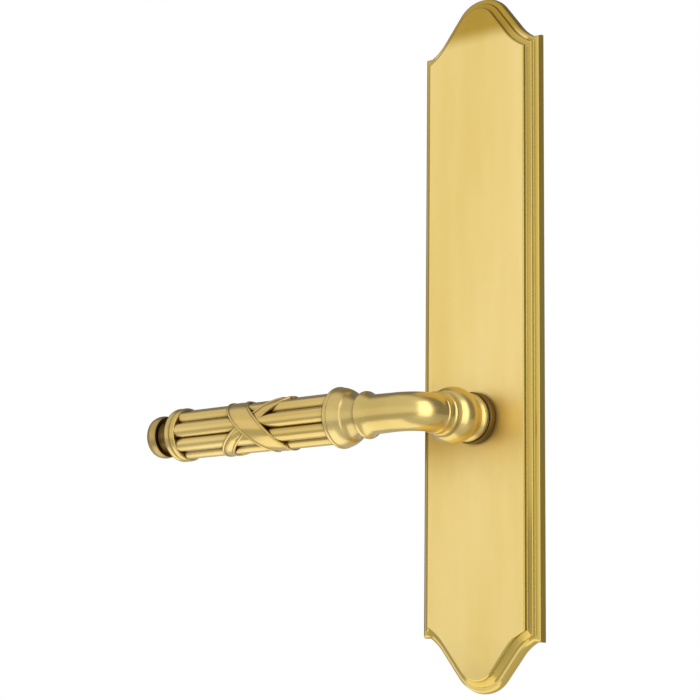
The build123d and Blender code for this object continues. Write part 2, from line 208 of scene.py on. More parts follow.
# %% [markdown]
# A finish in Blender is a small network of nodes, and the same few steps come back in each one.
# So each step is a helper: a noise, a pair of tones, a change of range, a mix, and a grain that
# moves the roughness and a very fine bump together. Every pattern reads Object coordinates, so it
# stays put on its piece when the lever turns.

# %% Finish helpers
GRAIN_HEIGHT = 0.2


def feed(tree, value, socket):
    """Give a socket a plain value or another node's output."""
    if isinstance(value, bpy.types.NodeSocket):
        tree.links.new(value, socket)
    else:
        socket.default_value = value


def new_material(name, metallic):
    """A node material, with its tree and its shader."""
    material = bpy.data.materials.new(name)
    material.use_nodes = True
    shader = material.node_tree.nodes["Principled BSDF"]
    feed(material.node_tree, metallic, shader.inputs["Metallic"])
    print("finish:", name)
    return material, material.node_tree, shader


def object_place(tree):
    """Where a point lies on the object."""
    return tree.nodes.new("ShaderNodeTexCoord").outputs["Object"]


def noise(tree, place, scale, detail):
    """Cloudy noise at a place."""
    node = tree.nodes.new("ShaderNodeTexNoise")
    feed(tree, scale, node.inputs["Scale"])
    feed(tree, detail, node.inputs["Detail"])
    feed(tree, place, node.inputs["Vector"])
    return node.outputs["Fac"]


def two_tones(tree, value, deep, light, reach):
    """A colour that runs from deep to light while a value is within reach of the middle."""
    ramp = tree.nodes.new("ShaderNodeValToRGB")
    ends = ((0.5 - reach, deep), (0.5 + reach, light))
    for stop, (place, tone) in zip(ramp.color_ramp.elements, ends):
        stop.position = place
        stop.color = (*tone, 1)
    feed(tree, value, ramp.inputs["Fac"])
    return ramp.outputs["Color"]


def map_range(tree, value, before, after=(0.0, 1.0), ease="LINEAR"):
    """A value moved from one range to another, and held at the ends."""
    node = tree.nodes.new("ShaderNodeMapRange")
    node.interpolation_type = ease
    for label, number in zip(("From Min", "From Max", "To Min", "To Max"), (*before, *after)):
        feed(tree, number, node.inputs[label])
    feed(tree, value, node.inputs["Value"])
    return node.outputs["Result"]


def mixed(tree, share, first, second, blend="MIX"):
    """Two colours mixed by a share of the second."""
    mix = tree.nodes.new("ShaderNodeMix")
    mix.data_type = "RGBA"
    mix.blend_type = blend
    for number, value in ((0, share), (6, first), (7, second)):
        feed(tree, value, mix.inputs[number])
    return mix.outputs[2]


def add_grain(tree, shader, grain, rough, spread, strength):
    """Roughness and a fine bump that both follow one grain."""
    span = (rough * spread[0], rough * spread[1])
    feed(tree, map_range(tree, grain, (0.0, 1.0), span), shader.inputs["Roughness"])
    bump = tree.nodes.new("ShaderNodeBump")
    feed(tree, strength, bump.inputs["Strength"])
    feed(tree, GRAIN_HEIGHT * MM, bump.inputs["Distance"])
    feed(tree, grain, bump.inputs["Height"])
    feed(tree, bump.outputs["Normal"], shader.inputs["Normal"])


# %% [markdown]
# The finish of the brass is the main thing that a viewer sees. Polished brass is nearly a mirror,
# but handling and the lacquer blur it a little, and the colour drifts where the film is thicker.
# So each brass is a metal whose two tones follow a slow noise, and whose polishing lines follow a
# fast one. A Mapping node squashes one direction, which draws both out the way the cloth went. In
# grooves and corners a brown tone is painted, as patina where a cloth can't reach and as painted
# shade where shade falls, and ambient occlusion finds those places.

# %% Brass
# A brown painted as patina and as painted shade in corners, gaps and round the hub.
PATINA_AND_SHADE = (0.11, 0.062, 0.012)
PATINA_AND_SHADE_SAMPLES = 8
DRIFT_SCALE = 45.0
DRIFT_DETAIL = 3.0
DRIFT_REACH = 0.2
LINE_SCALE = 900.0
LINE_DETAIL = 4.0
LINE_SPREAD = (0.8, 1.2)
LINE_STRENGTH = 0.04
EVEN = (1.0, 1.0, 1.0)
UPRIGHT = (1.0, 1.0, 0.15)
ALONG_LEVER = (0.2, 1.0, 1.0)


def clear_of_patina_and_shade(tree, reach, patina_shade_range):
    """0 in a corner that is shut in within the reach, where patina and painted shade go, and 1 in the
    open.
    """
    corners = tree.nodes.new("ShaderNodeAmbientOcclusion")
    corners.samples = PATINA_AND_SHADE_SAMPLES
    feed(tree, reach * MM, corners.inputs["Distance"])
    return map_range(tree, corners.outputs["AO"], patina_shade_range)


def brass(name, light, deep, rough, grain=EVEN, reach=3.0, patina_shade_range=(0.25, 0.85)):
    """A brass finish: two tones, roughness round a value, polishing lines, patina and painted shade in
    corners.
    """
    material, tree, shader = new_material(name, 1.0)
    stretch = tree.nodes.new("ShaderNodeMapping")
    feed(tree, grain, stretch.inputs["Scale"])
    feed(tree, object_place(tree), stretch.inputs["Vector"])
    place = stretch.outputs["Vector"]
    drift = noise(tree, place, DRIFT_SCALE, DRIFT_DETAIL)
    tone = two_tones(tree, drift, deep, light, DRIFT_REACH)
    colour = mixed(tree, clear_of_patina_and_shade(tree, reach, patina_shade_range), (*PATINA_AND_SHADE, 1), tone)
    feed(tree, colour, shader.inputs["Base Color"])
    lines = noise(tree, place, LINE_SCALE, LINE_DETAIL)
    add_grain(tree, shader, lines, rough, LINE_SPREAD, LINE_STRENGTH)
    return material


# %% [markdown]
# One set of brass still has several finishes. The plate's face is satin, and its stepped edge and the
# lever are polished brighter, while the edge's colour is painted darker as shade. The button at the tip
# is darker, and the collar in the lever's shadow is painted dark as shade. A longer reach lets the
# patina and the painted shade spread further out of a corner.

# %% Brass finishes
PLATE_BRASS = brass(
    "satin_plate_brass",
    light=(0.95, 0.74, 0.3),
    deep=(0.85, 0.63, 0.2),
    rough=0.38,
    grain=UPRIGHT,
    reach=2.5,
    patina_shade_range=(0.2, 0.7),
)
SHADED_EDGE_BRASS = brass(
    "edge_brass_painted_shade",
    light=(0.68, 0.5, 0.13),
    deep=(0.6, 0.42, 0.09),
    rough=0.16,
    grain=UPRIGHT,
    reach=3.0,
    patina_shade_range=(0.45, 0.95),
)
LEVER_BRASS = brass(
    "polished_lever_brass",
    light=(0.74, 0.56, 0.21),
    deep=(0.64, 0.47, 0.15),
    rough=0.25,
    reach=12.0,
    patina_shade_range=(0.3, 0.9),
)
BELL_BRASS = brass(
    "bell_brass",
    light=(0.76, 0.58, 0.23),
    deep=(0.66, 0.49, 0.17),
    rough=0.27,
    reach=10.0,
    patina_shade_range=(0.5, 1.0),
)
# A darker brass for the button at the tip.
END_BRASS = brass(
    "darker_end_brass",
    light=(0.6, 0.44, 0.17),
    deep=(0.48, 0.34, 0.11),
    rough=0.3,
    reach=12.0,
    patina_shade_range=(0.72, 1.0),
)
GRIP_BRASS = brass(
    "reeded_grip_brass",
    light=(0.82, 0.61, 0.24),
    deep=(0.7, 0.5, 0.16),
    rough=0.22,
    grain=ALONG_LEVER,
    reach=4.0,
    patina_shade_range=(0.5, 0.92),
)
# Dark brown painted on the collar and the thrust washer as the shade under the lever.
COLLAR_PAINTED_SHADE_BRASS = brass(
    "collar_brass_painted_shade",
    light=(0.2, 0.125, 0.03),
    deep=(0.13, 0.08, 0.015),
    rough=0.5,
)

# %% [markdown]
# The dome at the top shows a deeper olive than the face below it, which is a dark reflection
# painted into the colour. It could be painted on the mesh, but height alone places it. So the
# colour is multiplied by a deeper tone, which eases in with height.

# %% Painted top reflection
TOP_REFLECTION_START = 138.0
TOP_REFLECTION_FULL = 145.0


def paint_dark_top_reflection(material, tone):
    """Deepen a brass towards the object's top, as a painted dark reflection."""
    tree = material.node_tree
    base = tree.nodes["Principled BSDF"].inputs["Base Color"]
    parts = tree.nodes.new("ShaderNodeSeparateXYZ")
    feed(tree, object_place(tree), parts.inputs[0])
    height = map_range(tree, parts.outputs["Z"], (TOP_REFLECTION_START * MM, TOP_REFLECTION_FULL * MM), ease="SMOOTHSTEP")
    feed(tree, mixed(tree, height, base.links[0].from_socket, (*tone, 1), "MULTIPLY"), base)
    # The print names each brass that gets the painted dark reflection at the top.
    print("deeper lacquer at the top of", material.name)


paint_dark_top_reflection(PLATE_BRASS, (0.58, 0.5, 0.22))
paint_dark_top_reflection(SHADED_EDGE_BRASS, (0.75, 0.68, 0.4))

# %% [markdown]
# Behind the door face the pieces are plated steel and nylon. Nobody polishes them, so one plain
# finish serves them all: two close tones, with a fine grain in the roughness and the bump.

# %% Steel and nylon
GRAIN_DETAIL = 5.0
GRAIN_REACH = 0.15
GRAIN_SPREAD = (0.8, 1.25)


def grained(name, light, deep, metallic, rough, scale, strength):
    """A plain hidden finish: plated steel or nylon with a fine grain."""
    material, tree, shader = new_material(name, metallic)
    grain = noise(tree, object_place(tree), scale, GRAIN_DETAIL)
    feed(tree, two_tones(tree, grain, deep, light, GRAIN_REACH), shader.inputs["Base Color"])
    add_grain(tree, shader, grain, rough, GRAIN_SPREAD, strength)
    return material


ZINC = grained(
    "zinc_plated_steel",
    light=(0.62, 0.63, 0.64),
    deep=(0.5, 0.51, 0.53),
    metallic=1.0,
    rough=0.35,
    scale=220.0,
    strength=0.1,
)
BAR_STEEL = grained(
    "drawn_bar_steel",
    light=(0.55, 0.55, 0.54),
    deep=(0.43, 0.43, 0.43),
    metallic=1.0,
    rough=0.3,
    scale=400.0,
    strength=0.12,
)
SPRING_STEEL = grained(
    "spring_steel",
    light=(0.3, 0.3, 0.31),
    deep=(0.2, 0.2, 0.21),
    metallic=1.0,
    rough=0.35,
    scale=300.0,
    strength=0.1,
)
NYLON = grained(
    "bush_nylon",
    light=(0.78, 0.76, 0.7),
    deep=(0.7, 0.68, 0.61),
    metallic=0.0,
    rough=0.5,
    scale=500.0,
    strength=0.15,
)

# %% [markdown]
# The plate is hot-forged brass: domed ends, concave coves down to narrow ledges with square
# corners, and an edge that rises in steps. It could be carved with booleans, but every step runs
# parallel to the outline. So one function gives the outline moved in by any distance, and the
# edge is a stack of those outlines. Near its tips the plate also leans back a little, because the
# light on the ends in the photo is that of a surface which turns away. The narrowest ledge keeps
# the cove's foot off the square corner, because two points in one place spoil a face.

# %% Plate outline
COVE_STEPS = 24
DOME_STEPS = 20
NARROWEST_LEDGE = 0.01


def plate_quarter(inset):
    """The top right quarter of the outline, from the ledge's corner to the top."""
    dome_centre = PLATE_HEIGHT / 2 - DOME_RADIUS
    cove_x = PLATE_WIDTH / 2 + COVE_OUTSIDE
    cove_z = dome_centre + COVE_RISE
    dome = DOME_RADIUS - inset
    cove = COVE_RADIUS + inset
    side = PLATE_WIDTH / 2 - inset
    reach = DOME_RADIUS + COVE_RADIUS
    tangent = math.atan2(COVE_RISE, cove_x) + math.acos(reach / (reach + COVE_EASE))
    drop = math.sqrt(COVE_RADIUS**2 - (COVE_OUTSIDE + LEDGE_WIDTH) ** 2) + inset
    foot_x = min(side - NARROWEST_LEDGE, cove_x - math.sqrt(cove**2 - drop**2))
    foot_z = cove_z - math.sqrt(cove**2 - (cove_x - foot_x) ** 2)
    first = math.atan2(foot_z - cove_z, foot_x - cove_x) % math.tau
    last = tangent + math.pi
    points = [(side, foot_z)]
    for k in range(COVE_STEPS + 1):
        angle = first + (last - first) * k / COVE_STEPS
        points.append((cove_x + cove * math.cos(angle), cove_z + cove * math.sin(angle)))
    for k in range(DOME_STEPS + 1):
        angle = tangent + (math.pi / 2 - tangent) * k / DOME_STEPS
        points.append((dome * math.cos(angle), dome_centre + dome * math.sin(angle)))
    return points


def lean(reach):
    """The share of its level that the plate keeps, as its ends lean back a little."""
    past = max(0.0, reach - LEAN_START)
    return 1 - LEAN_DROP / PLATE_THICKNESS * (past / (PLATE_HEIGHT / 2 - LEAN_START)) ** 2


def plate_ring(inset, level):
    """The whole outline at a level above the door."""
    quarter = plate_quarter(inset)
    back = quarter[-2::-1]
    ring = quarter + [(-x, z) for x, z in back]
    ring += [(-x, -z) for x, z in quarter] + [(x, -z) for x, z in back]
    return [(x, -level * lean(abs(z)), z + PLATE_CENTRE) for x, z in ring]


print("outline points:", len(plate_ring(0, 0)))

# %% [markdown]
# The edge is drawn as insets and levels, from the hollow back, round the rim and up two steps to
# the face, with a soft radius at each corner. A few more rings carry the face inwards, so that it
# can lean with the ends. Two closed collars of brass stand in the hollow back for the posts, and
# two small ones for the cassette's screws.

# %% Plate edge
FIELD_INSET = 4.9
FIELD_RINGS = (5.3, 6.5, 8.0, 9.5, 11.0, 12.2)
EDGE_SOFTNESS = 0.25
EDGE = trace(
    (CAVITY_INSET, CAVITY_LEVEL),
    (CAVITY_INSET, 0.0),
    (0.35, 0.0),
    (0.0, 0.35),
    (0.0, 1.6),
    (0.5, 3.1),
    (1.2, 3.6),
    (2.1, 3.6),
    (2.5, 4.75),
    (4.3, 5.4),
    (4.55, 6.75),
    (FIELD_INSET, PLATE_THICKNESS),
)
POST_BOSS = {"radius": 5.5, "bore": 2.5, "low": 0.0}
SCREW_BOSS = {"radius": 3.2, "bore": 1.25, "low": 2.6}
BOSS_POINTS = 48


def disc_ring(radius, level, z=0.0, count=96):
    """A flat circle of points at a level above the door, on the plate's middle line."""
    return [(radius * math.cos(t), -level, z + radius * math.sin(t)) for t in around(count)]


def fill_between(mesh, outer, inner):
    """A flat face between an outline and a round hole."""
    edges = []
    for loop in (outer, inner):
        for k, vert in enumerate(loop):
            following = loop[(k + 1) % len(loop)]
            edges.append(mesh.edges.get((vert, following)) or mesh.edges.new((vert, following)))
    bmesh.ops.triangle_fill(mesh, edges=edges, use_beauty=True)


def boss(mesh, z, radius, bore, low):
    """A round pillar with a hole, standing in the hollow back."""
    rings = [(bore, low), (radius, low), (radius, CAVITY_LEVEL), (bore, CAVITY_LEVEL)]
    skin(mesh, [disc_ring(r, level, z, BOSS_POINTS) for r, level in rings], cyclic=True)


print("corners in the edge:", len(EDGE))

# %% [markdown]
# The parts of the plate are skinned into one mesh. Its flat field and its stepped edge are
# polished in two ways on the real plate, so the piece has two finishes. A face takes the edge's,
# whose darker colour is painted shade, where it is beside the field or tilts away from the viewer.

# %% Plate
LEAST_FACING = 0.96
plate_mesh = bmesh.new()
edge_profile = softened(EDGE, radius=EDGE_SOFTNESS)
edge_profile += [(inset, PLATE_THICKNESS) for inset in FIELD_RINGS]
loops = skin(plate_mesh, [plate_ring(i, level) for i, level in edge_profile], capped=False)
bore_rings = [disc_ring(COLLAR_SPIGOT_RADIUS, level) for level in (PLATE_THICKNESS, CAVITY_LEVEL)]
bore = skin(plate_mesh, bore_rings, capped=False)
fill_between(plate_mesh, loops[-1], bore[0])
fill_between(plate_mesh, loops[0], bore[1])
for side in (1, -1):
    boss(plate_mesh, PLATE_CENTRE + side * POST_SPACING / 2, **POST_BOSS)
    boss(plate_mesh, side * SCREW_REACH, **SCREW_BOSS)
plate = finish_mesh(plate_mesh, "forged_plate", PLATE_BRASS)
plate.data.materials.append(SHADED_EDGE_BRASS)
# Faces beside the field or tilting away from the viewer get the edge's darker colour, which is painted
# shade.
for face in plate.data.polygons:
    beside_field = abs(face.center.x) / MM > PLATE_WIDTH / 2 - FIELD_INSET
    face.material_index = int(face.normal.y > -LEAST_FACING or beside_field)
print("faces with the edge's finish:", sum(face.material_index for face in plate.data.polygons))
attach(plate, "plate")
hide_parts("escutcheon_plate")

# %% [markdown]
# Round pieces are turned: a profile of stations and radii goes once round its axis. A piece with
# a bore closes on itself like a ring, and a solid one ends in a point at each end. The first is
# the collar that stands on the plate round the shank.


# %% Turning and the collar
def turned(name, profile, place, material, closed=True, turn=None):
    """Turn a (station, radius) profile, with each corner softened."""
    soft = softened(profile + ([profile[0]] if closed else []))
    if closed:
        soft = soft[:-1]
    mesh = bmesh.new()
    rings = [[place(s, r, t) for t in around()] for s, r in soft]
    skin(mesh, rings, cyclic=closed, capped=False)
    return finish_mesh(mesh, name, material, turn)


collar_profile = trace(
    (CAVITY_LEVEL, BUSH_RADIUS),
    (CAVITY_LEVEL, COLLAR_SPIGOT_RADIUS),
    (PLATE_THICKNESS, COLLAR_SPIGOT_RADIUS),
    (PLATE_THICKNESS, COLLAR_RADIUS),
    (COLLAR_LEVEL - 0.7, COLLAR_RADIUS),
    ((COLLAR_LEVEL - 0.2, COLLAR_RADIUS - 0.2), (COLLAR_LEVEL, COLLAR_RADIUS - 0.7)),
    (COLLAR_LEVEL, BUSH_RADIUS),
    steps=6,
)
collar = turned("raised_collar", collar_profile, on_shank, COLLAR_PAINTED_SHADE_BRASS)
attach(collar, "plate")
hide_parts("rose_collar")

# %% [markdown]
# The neck is one casting: a turned shank with a large bead, a tight elbow, and a flared end. The
# rings follow the bent centre line, so the same list of radii serves the straight and the bend.

# %% Neck profiles
TUBE_RADIUS = 6.8
BEND_STEPS = 32
BEND_GAP = 0.2
shank_profile = trace(
    (0.7, 0.0),
    (0.7, 7.0),
    (10.3, 7.0),
    (10.3, 8.2),
    ((11.6, 8.75), (12.9, 8.2)),
    (13.3, 7.8),
    (15.3, 7.8),
    (15.6, 8.2),
    ((20.7, 10.15), (25.7, 8.2)),
    (26.1, 7.2),
    (26.5, 7.3),
    ((27.5, 7.85), (28.6, 7.3)),
    (30.2, 7.15),
    ((31.0, 7.4), (31.8, 7.1)),
    (ELBOW_LEVEL - BEND_GAP, TUBE_RADIUS),
)
neck_profile = trace(
    (ELBOW_RADIUS + BEND_GAP, TUBE_RADIUS),
    (15.8, 6.95),
    ((18.1, 7.3), (19.6, 8.1)),
    ((20.5, 8.45), (NECK_END, 8.1)),
    (NECK_END, 0.0),
)
print("profile points:", len(shank_profile), "on the shank,", len(neck_profile), "on the neck")


# %% Neck
def bent_ring(centre, forward, radius):
    """A ring square to a direction that lies in the level plane."""
    across = forward.cross(Vector((0, 0, 1)))
    ring = []
    for t in around():
        ring.append(centre + across * radius * math.cos(t) + Vector((0, 0, radius * math.sin(t))))
    return ring


neck_rings = []
for level, radius in softened(shank_profile):
    neck_rings.append(bent_ring(Vector((0, -level, 0)), Vector((0, -1, 0)), radius))
for k in range(BEND_STEPS + 1):
    bend = math.pi / 2 * k / BEND_STEPS
    centre = Vector((math.cos(bend) - 1, -math.sin(bend), 0)) * ELBOW_RADIUS
    centre.y -= ELBOW_LEVEL
    forward = Vector((-math.sin(bend), -math.cos(bend), 0))
    neck_rings.append(bent_ring(centre, forward, TUBE_RADIUS))
for station, radius in softened(neck_profile):
    neck_rings.append(bent_ring(Vector((-station, -GRIP_LEVEL, 0)), Vector((-1, 0, 0)), radius))
neck_mesh = bmesh.new()
skin(neck_mesh, neck_rings, capped=False)
neck = finish_mesh(neck_mesh, "cast_neck", LEVER_BRASS, REST_TURN)
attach(neck, "lever")
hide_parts("lever_neck")

# %% [markdown]
# The bell ferrule covers the joint between neck and grip. Its flare is two arcs, hollow then
# full, and its mouth is a thin bright lip round the reeds.

# %% Bell ferrule
MOUTH_RADIUS = 9.5
bell_profile = trace(
    (NECK_END, TIE_ROD_BORE),
    (NECK_END, 7.0),
    (23.6, 7.0),
    ((25.8, 7.75), (27.0, 8.9)),
    ((28.9, 10.1), (31.3, 10.7)),
    (31.3, 10.4),
    ((32.25, 11.0), (BELL_MOUTH, 10.4)),
    (BELL_MOUTH, MOUTH_RADIUS),
    (GRIP_START, MOUTH_RADIUS),
    (GRIP_START, TIE_ROD_BORE),
)
bell = turned("bell_end", bell_profile, on_lever, BELL_BRASS, turn=REST_TURN)
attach(bell, "lever")
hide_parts("bell_ferrule")

# %% [markdown]
# The reeds repeat round the grip by a rule: the section is a ring of equal arcs. Geometry Nodes
# fit that well, because the tree keeps the rule and its inputs keep the sizes. These helpers
# start a tree with named inputs, end it, and turn what it grows into a plain piece.


# %% Geometry Nodes helpers
def math_node(tree, operation, *values):
    """A Math node whose inputs are sockets or numbers."""
    node = tree.nodes.new("ShaderNodeMath")
    node.operation = operation
    for socket, value in zip(node.inputs, values):
        feed(tree, value, socket)
    return node.outputs[0]


def new_tree(name, sizes):
    """An empty Geometry Nodes tree with an input for each size and one for the finish."""
    tree = bpy.data.node_groups.new(name, "GeometryNodeTree")
    inputs = [("Geometry", "NodeSocketGeometry")]
    inputs += [(label, "NodeSocketFloat") for label in sizes]
    inputs += [("Material", "NodeSocketMaterial")]
    for label, kind in inputs:
        tree.interface.new_socket(label, in_out="INPUT", socket_type=kind)
    tree.interface.new_socket("Geometry", in_out="OUTPUT", socket_type="NodeSocketGeometry")
    return tree, tree.nodes.new("NodeGroupInput"), tree.nodes.new("NodeGroupOutput")


def finish_tree(tree, group_in, group_out, geometry):
    """Realize Instances and Set Material, then out."""
    real = tree.nodes.new("GeometryNodeRealizeInstances")
    paint = tree.nodes.new("GeometryNodeSetMaterial")
    feed(tree, geometry, real.inputs[0])
    feed(tree, real.outputs[0], paint.inputs["Geometry"])
    feed(tree, group_in.outputs["Material"], paint.inputs["Material"])
    feed(tree, paint.outputs[0], group_out.inputs[0])
    print(f"{tree.name}: {len(tree.nodes)} nodes")


def grow(name, tree, values, turn):
    """Run a tree on an empty mesh with its inputs set, and keep the result as a plain piece."""
    seed = bpy.data.objects.new(name + "_seed", bpy.data.meshes.new(name + "_seed"))
    bpy.context.scene.collection.objects.link(seed)
    modifier = seed.modifiers.new("grow", "NODES")
    modifier.node_group = tree
    for item in tree.interface.items_tree:
        if item.in_out == "INPUT" and item.name in values:
            modifier[item.identifier] = values[item.name]
    graph = bpy.context.evaluated_depsgraph_get()
    grown = bpy.data.meshes.new_from_object(seed.evaluated_get(graph), depsgraph=graph)
    seed.modifiers.remove(modifier)
    bpy.data.objects.remove(seed)
    mesh = bmesh.new()
    mesh.from_mesh(grown)
    bpy.data.meshes.remove(grown)
    return finish_mesh(mesh, name, values["Material"], turn)


# %% [markdown]
# An arc that bulges from the grip's axis has its centre part way out. Crown and groove fix that
# centre, and then the distance to the arc follows from the angle within one reed.


# %% Reed section rule
def squares_apart(tree, large, small):
    """The square of one value less the square of another."""
    large_square = math_node(tree, "MULTIPLY", large, large)
    return math_node(tree, "SUBTRACT", large_square, math_node(tree, "MULTIPLY", small, small))


def reach_at(tree, group_in, position):
    """How far from the axis the section lies at a point's angle."""
    crown = group_in.outputs["Crown"]
    groove = group_in.outputs["Groove"]
    half = math_node(tree, "DIVIDE", math.pi, group_in.outputs["Reeds"])
    groove_across = math_node(tree, "MULTIPLY", groove, math_node(tree, "COSINE", half))
    twice = math_node(tree, "MULTIPLY", 2.0, math_node(tree, "SUBTRACT", crown, groove_across))
    centre = math_node(tree, "DIVIDE", squares_apart(tree, crown, groove), twice)
    reed_radius = math_node(tree, "SUBTRACT", crown, centre)
    parts = tree.nodes.new("ShaderNodeSeparateXYZ")
    feed(tree, position, parts.inputs[0])
    angle = math_node(tree, "ARCTAN2", parts.outputs["Y"], parts.outputs["X"])
    whole = math_node(tree, "MULTIPLY", 2.0, half)
    shifted = math_node(tree, "ADD", angle, half)
    local = math_node(tree, "SUBTRACT", math_node(tree, "FLOORED_MODULO", shifted, whole), half)
    along = math_node(tree, "MULTIPLY", centre, math_node(tree, "COSINE", local))
    aside = math_node(tree, "MULTIPLY", centre, math_node(tree, "SINE", local))
    rest = math_node(tree, "SQRT", squares_apart(tree, reed_radius, aside))
    return math_node(tree, "ADD", along, rest)


# %% [markdown]
# The tree pushes a circle's points out to that distance, turns the section so that one reed sits
# where the photo has it, and draws it along a straight line from the bell to the end ring.

# %% Reeded grip tree
REED_SIZES = ("Reeds", "Crown", "Groove", "Start", "End", "Level", "Turn")
REED_COUNT = 8
POINTS_PER_REED = 28


def reed_section(tree, group_in):
    """A circle pushed out to the arcs and turned to its place."""
    circle = tree.nodes.new("GeometryNodeCurvePrimitiveCircle")
    feed(tree, REED_COUNT * POINTS_PER_REED, circle.inputs["Resolution"])
    feed(tree, 1.0, circle.inputs["Radius"])
    position = tree.nodes.new("GeometryNodeInputPosition").outputs[0]
    scaled = tree.nodes.new("ShaderNodeVectorMath")
    scaled.operation = "SCALE"
    feed(tree, position, scaled.inputs[0])
    feed(tree, reach_at(tree, group_in, position), scaled.inputs["Scale"])
    shape = tree.nodes.new("GeometryNodeSetPosition")
    feed(tree, circle.outputs[0], shape.inputs["Geometry"])
    feed(tree, scaled.outputs[0], shape.inputs["Position"])
    spin = tree.nodes.new("ShaderNodeCombineXYZ")
    feed(tree, group_in.outputs["Turn"], spin.inputs["Z"])
    section = tree.nodes.new("GeometryNodeTransform")
    feed(tree, shape.outputs[0], section.inputs["Geometry"])
    feed(tree, spin.outputs[0], section.inputs["Rotation"])
    return section.outputs[0]


def middle_line(tree, group_in):
    """The straight line along the grip's axis, from its start to its end."""
    line = tree.nodes.new("GeometryNodeCurvePrimitiveLine")
    for label in ("Start", "End"):
        point = tree.nodes.new("ShaderNodeCombineXYZ")
        for part, size in (("X", label), ("Y", "Level")):
            away = math_node(tree, "MULTIPLY", -1.0, group_in.outputs[size])
            feed(tree, away, point.inputs[part])
        feed(tree, point.outputs[0], line.inputs[label])
    return line.outputs[0]


reed_tree, reed_in, reed_out = new_tree("reeded_bar", REED_SIZES)
sweep = reed_tree.nodes.new("GeometryNodeCurveToMesh")
feed(reed_tree, True, sweep.inputs["Fill Caps"])
feed(reed_tree, middle_line(reed_tree, reed_in), sweep.inputs["Curve"])
feed(reed_tree, reed_section(reed_tree, reed_in), sweep.inputs["Profile Curve"])
finish_tree(reed_tree, reed_in, reed_out, sweep.outputs[0])

# %% [markdown]
# With the tree made, the grip is one call: its sizes go in by name, and a closed bar comes out.

# %% Reeded grip
REED_CROWN = 9.45
REED_GROOVE = 7.8
REED_TURN = 7.5
grip_values = {
    "Reeds": float(REED_COUNT),
    "Crown": REED_CROWN * MM,
    "Groove": REED_GROOVE * MM,
    "Start": GRIP_START * MM,
    "End": GRIP_END * MM,
    "Level": GRIP_LEVEL * MM,
    "Turn": math.radians(REED_TURN),
    "Material": GRIP_BRASS,
}
grip = grow("reeded_bar", reed_tree, grip_values, REST_TURN)
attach(grip, "lever")
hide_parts("reeded_grip")

# %% [markdown]
# Two ribbons cross at the front and the back of the grip. Each is a strip that climbs round the
# bar: its middle follows a sine along the lever, its width is measured square to its own run, and
# both its edges are raised. The broad one rides over, and the narrow one dips under it.

# %% Ribbons
RIBBON_RADIUS = 9.6
RIBBON_SEAT = 7.4
RIBBON_RINGS = 256
SUNK_SIDE = 0.15
SUNK_HOLLOW = 0.1
RAISED_EDGE = 0.3
RAISED_MIDDLE = 0.05
EDGE_PEAK = 0.5
EDGE_WIDTH = 1.05
CROSSING_START = 0.8
OVER_RIBBON = {"centre": 69.6, "reach": 10.3, "width": 8.9, "deepest": 0.0}
UNDER_RIBBON = {"centre": 70.8, "reach": -14.2, "width": 5.2, "deepest": 0.5}


def ribbon_section(half, dip):
    """Offsets and radii across the strip: sunk sides, raised edges, a full middle."""
    top = RIBBON_RADIUS - dip
    side = top - SUNK_SIDE
    hollow = top - SUNK_HOLLOW
    inner = half - EDGE_WIDTH
    return trace(
        (-half, RIBBON_SEAT),
        (-half, side),
        ((-half + EDGE_PEAK, top + RAISED_EDGE), (-inner, hollow)),
        ((0, top + RAISED_MIDDLE), (inner, hollow)),
        ((half - EDGE_PEAK, top + RAISED_EDGE), (half, side)),
        (half, RIBBON_SEAT),
        steps=8,
    )


def ribbon(name, centre, reach, width, deepest):
    """One strip round the grip. With a positive reach it runs down to the right at the front."""
    rings = []
    for theta in around(RIBBON_RINGS):
        slope = -reach * math.cos(theta)
        run = math.hypot(slope, RIBBON_RADIUS)
        middle = centre + reach * math.sin(theta)
        near = max(0.0, abs(math.cos(theta)) - CROSSING_START) / (1 - CROSSING_START)
        dip = deepest * near * near * (3 - 2 * near)
        ring = []
        for offset, radius in ribbon_section(width / 2, dip):
            station = middle - offset * RIBBON_RADIUS / run
            angle = theta - offset * slope / run / RIBBON_RADIUS
            ring.append(on_lever(station, radius, angle))
        rings.append(ring)
    mesh = bmesh.new()
    skin(mesh, rings, cyclic=True)
    return finish_mesh(mesh, name, GRIP_BRASS, REST_TURN, crease=40)


over = ribbon("ribbon_over", **OVER_RIBBON)
under = ribbon("ribbon_under", **UNDER_RIBBON)
for strip in (over, under):
    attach(strip, "lever")
    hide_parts("crossed_ribbons")

# %% [markdown]
# At the far end a ring of two beads closes the reeds, and a button on a hollowed neck ends the
# lever. Both are plain turning.

# %% End ring and button
RING_MIDDLE = (GRIP_END + RING_END) / 2
RING_RADIUS = 9.5
BEAD_CROWN = 10.2
ring_profile = trace(
    (GRIP_END, TIE_ROD_BORE),
    (GRIP_END, RING_RADIUS),
    (((GRIP_END + RING_MIDDLE) / 2, BEAD_CROWN), (RING_MIDDLE, RING_RADIUS)),
    (((RING_MIDDLE + RING_END) / 2, BEAD_CROWN), (RING_END, RING_RADIUS)),
    (RING_END, TIE_ROD_BORE),
)
end_ring = turned("beaded_ring", ring_profile, on_lever, LEVER_BRASS, turn=REST_TURN)
button_profile = trace(
    (RING_END, 0.0),
    (RING_END, 7.4),
    ((115.6, 5.6), (118.9, 6.0)),
    (118.9, 7.7),
    ((121.1, 8.15), (123.3, 7.7)),
    ((123.75, 4.0), (LEVER_TIP, 0.0)),
)
button = turned("end_cap", button_profile, on_lever, END_BRASS, closed=False, turn=REST_TURN)
for piece, node in ((end_ring, "end_ring"), (button, "end_button")):
    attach(piece, "lever")
    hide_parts(node)

# %% [markdown]
# What stands behind the door face keeps its exact solid, which is simple and already right. Each
# of those nodes only needs its finish.

